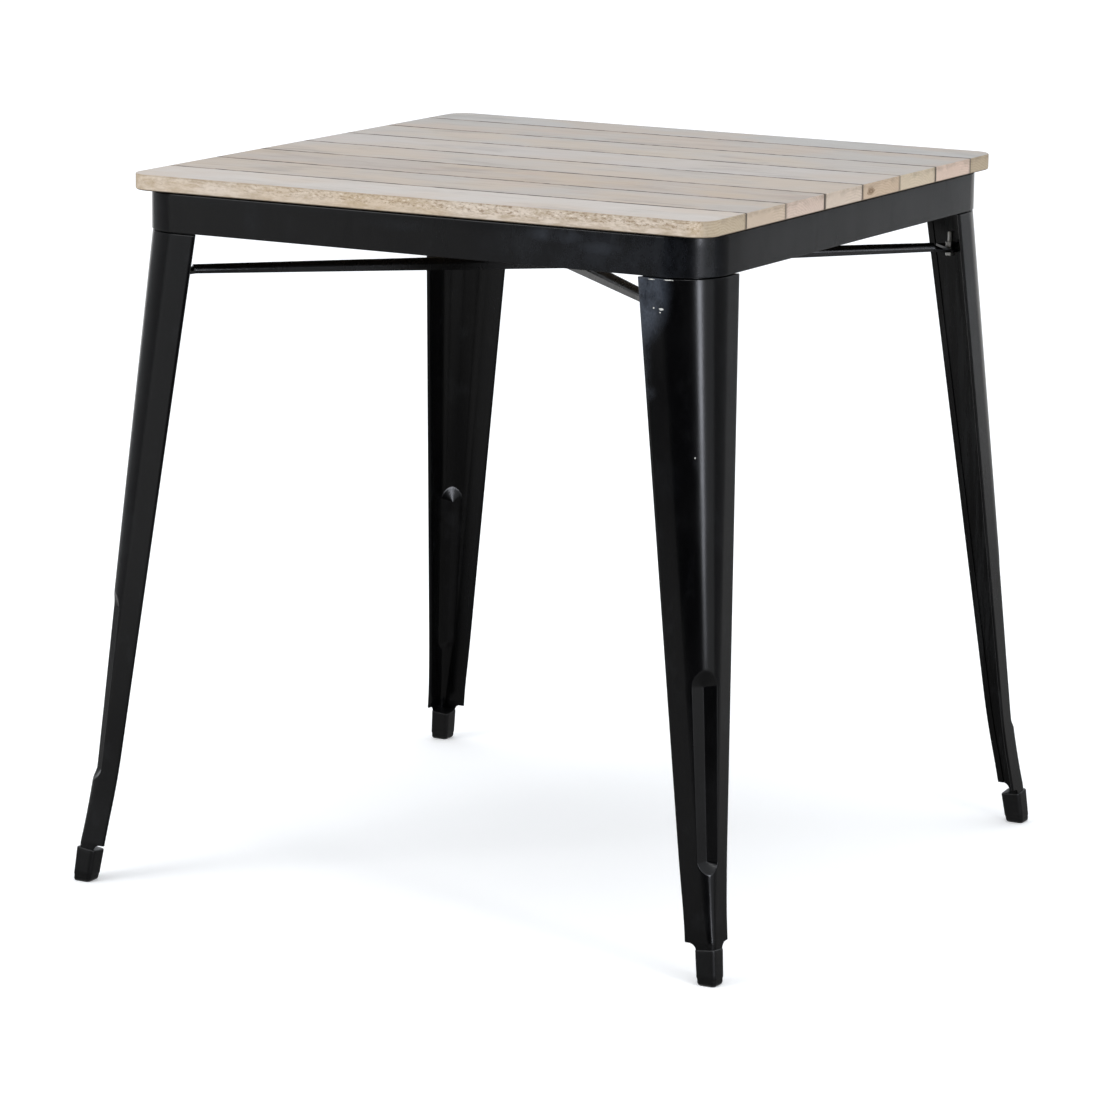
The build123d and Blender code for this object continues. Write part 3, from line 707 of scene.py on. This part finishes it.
# height and inset of the worn foot ring
CAP_FOOT = [(0.0, 2.8), (0.3, 1.9), (1.0, 1.2), (2.4, 0.65), (6.0, 0.50), (6.8, 0.38), (7.5, 0.0)]
CAP_TILT = (12.0, 31.0)  # the rings turn from level to square with the leg between these heights


def make_cap():
    """Tapered rubber cap that leans with the leg; its top is square to the leg."""
    levels = CAP_FOOT + [(z, 0.0) for z in (12.0, 17.0, 22.0, 27.0, 31.0)]
    levels += [(CAP_HEIGHT - CAP_EDGE + CAP_EDGE * math.sin(a), CAP_EDGE * (1 - math.cos(a)))
               for a in np.linspace(0, math.pi / 2, 6)]
    low, high = CAP_TILT
    loops = []
    for z, inset in levels:
        half = CAP_HALF + CAP_GROWTH * z
        ring, _ = rounded_square(half - inset, CAP_CORNER - inset * 0.6, 10, 6)
        centre = CAP_AT - CAP_LEAN * z
        tilt = CAP_LEAN * (ring[:, 0] + ring[:, 1]) * np.clip((z - low) / (high - low), 0.0, 1.0)
        loops.append(np.column_stack([ring + centre, z + tilt]))
    return loops_to_mesh(loops)


cap_verts, cap_faces = make_cap()
for corner, (sx, sy) in CORNERS.items():
    v, f = mirrored(cap_verts, cap_faces, sx, sy)
    add_piece(f"cap_{corner}", v, f, RUBBER, f"foot_cap_{corner}", angle=40.0)


# ------------------------------------------------------------------ brace and small parts
for node in ["cross_brace"] + [f"brace_bracket_{c}" for c in CORNERS]:
    paint(node, BRACE_STEEL)
for node in ("brace_bolts", "brace_nuts", "leg_bolts"):
    paint(node, BOLT_ZINC)
paint("plank_screws", SCREW_ZINC)


# ------------------------------------------------------------------ floor, camera and lights
def quad(name, corners):
    """One flat face of the studio set."""
    mesh = bpy.data.meshes.new(name)
    mesh.from_pydata(corners, [], [(0, 1, 2, 3)])
    obj = bpy.data.objects.new(name, mesh)
    bpy.context.scene.collection.objects.link(obj)
    return obj


def level_square(half, z):
    return [(-half, -half, z), (half, -half, z), (half, half, z), (-half, half, z)]


floor = quad("floor", level_square(30.0, 0.0))
pale = Shader("pale_floor")
tint = pale.noise(pale.where((0.6, 0.6, 0.6)), 3.0, 0.5)
floor.data.materials.append(pale.finish(
    base_color=pale.mix(tint, (0.965, 0.965, 0.965), (0.975, 0.975, 0.975)), roughness=0.9,
    specular_ior_level=0.0, emission_color=(1.0, 1.0, 1.0), emission_strength=0.17))

AZIMUTH, ELEVATION, ROLL = (math.radians(v) for v in (29.127, 11.562, 0.638))
DISTANCE, SIDE_SHIFT, AIM_HEIGHT, LENS = 5.23241, -0.018552, 0.329645, 160.62
back = Vector((math.sin(AZIMUTH) * math.cos(ELEVATION), -math.cos(AZIMUTH) * math.cos(ELEVATION),
               math.sin(ELEVATION)))
right = Vector((math.cos(AZIMUTH), math.sin(AZIMUTH), 0.0))
up = back.cross(right)
right_rolled = math.cos(ROLL) * right + math.sin(ROLL) * up
up_rolled = -math.sin(ROLL) * right + math.cos(ROLL) * up
camera_data = bpy.data.cameras.new("camera")
camera_data.lens = LENS
camera_data.sensor_width = 36.0
camera_data.clip_start = 0.05
camera_data.clip_end = 120.0
camera = bpy.data.objects.new("camera", camera_data)
bpy.context.scene.collection.objects.link(camera)
turn = Matrix((right_rolled, up_rolled, back)).transposed().to_4x4()
eye = Vector((0, 0, AIM_HEIGHT)) + right * SIDE_SHIFT + back * DISTANCE
camera.matrix_world = Matrix.Translation(eye) @ turn
bpy.context.scene.camera = camera


AIM_OF_LIGHTS = 0.4  # height above the floor


def studio_light(name, azimuth, distance, height, width, tall, radiance):
    """Softbox at an azimuth from the front (-Y) towards the right (+X)."""
    a = math.radians(azimuth)
    data = bpy.data.lights.new(name, "AREA")
    data.shape = "RECTANGLE"
    data.size, data.size_y = width, tall
    data.energy = radiance * math.pi * width * tall
    obj = bpy.data.objects.new(name, data)
    bpy.context.scene.collection.objects.link(obj)
    obj.location = (distance * math.sin(a), -distance * math.cos(a), height)
    obj.rotation_euler = (Vector((0, 0, AIM_OF_LIGHTS)) - obj.location).to_track_quat("-Z", "Y").to_euler()
    obj.visible_camera = False
    return obj


# the strip gives the tall highlight on the corners; the sparkle glints on the upper edges
strip = studio_light("strip_right", azimuth=61.8, distance=3.2, height=1.44, width=0.46, tall=2.0,
                     radiance=18.0)
strip.data.color = (0.95, 0.98, 1.08)
strip.visible_diffuse = False
fill = studio_light("fill_right", azimuth=67.0, distance=3.2, height=0.9, width=0.40, tall=2.2,
                    radiance=8.2)
fill.visible_glossy = False
studio_light("softbox_left", azimuth=-32.0, distance=3.6, height=2.5, width=1.6, tall=1.6, radiance=4.5)
studio_light("overhead", azimuth=20.0, distance=0.6, height=3.6, width=3.0, tall=3.0, radiance=1.1)
sparkle = studio_light("sparkle", azimuth=42.0, distance=2.4, height=3.0, width=0.5, tall=0.5,
                       radiance=14.0)
sparkle.visible_diffuse = False


def panel(name, start, end, top, shade):
    """Upright cloth that stands near the table between two points, hidden from the camera."""
    (x0, y0), (x1, y1) = start, end
    foot = 0.02
    obj = quad(name, [(x0, y0, foot), (x1, y1, foot), (x1, y1, top), (x0, y0, top)])
    cloth = Shader(f"cloth_{name}")
    obj.data.materials.append(cloth.finish(base_color=(shade, shade, shade), roughness=1.0,
                                           specular_ior_level=0.0))
    obj.visible_camera = False


panel("panel_front", (-0.62, -2.3), (2.15, -1.59), 1.5, 0.004)
panel("panel_right", (2.0, 0.0), (2.0, 2.95), 1.6, 0.24)
panel("panel_back", (2.0, 2.97), (2.0, 5.4), 1.6, 0.62)
panel("panel_far", (-2.15, -4.2), (0.2, -4.2), 1.3, 0.02)
panel("panel_left", (-2.0, -1.9), (-2.0, 0.6), 1.5, 0.36)


def floor_cloth(name, half):
    """Low-lying cloth that shows only in reflections: dark by the table, paler further out."""
    obj = quad(name, level_square(half, 0.002))
    s = Shader(f"cloth_{name}")
    x, y, z = s.split(s.coords.outputs["Object"])
    r = s.math("SQRT", s.math("ADD", s.math("MULTIPLY", x, x), s.math("MULTIPLY", y, y)))
    front = s.math("ADD", s.ramp(r, 0.5, 1.1, 0.18, 0.48), s.ramp(r, 1.4, 3.6, 0.0, 0.40))
    behind = s.math("ADD", s.ramp(r, 0.4, 1.6, 0.26, 0.42), s.ramp(r, 2.6, 4.4, 0.0, 0.55))
    side = s.ramp(y, -0.5, 0.7)
    glow = s.math("ADD", s.math("MULTIPLY", side, behind),
                  s.math("MULTIPLY", s.math("SUBTRACT", 1.0, side), front))
    obj.data.materials.append(s.finish(base_color=(0.0, 0.0, 0.0), roughness=1.0, specular_ior_level=0.0,
                                       emission_color=(1.0, 1.0, 1.0), emission_strength=glow))
    s.mat.cycles.emission_sampling = "NONE"
    for flag in ("camera", "diffuse", "transmission", "volume_scatter", "shadow"):
        setattr(obj, f"visible_{flag}", False)


floor_cloth("floor_cloth", 14.0)

world = bpy.data.worlds.new("studio")
bpy.context.scene.world = world
world.use_nodes = True
world.node_tree.nodes["Background"].inputs[0].default_value = (0.965, 1.0, 1.045, 1)
world.node_tree.nodes["Background"].inputs[1].default_value = 1.02
bpy.context.scene.view_settings.view_transform = "Standard"
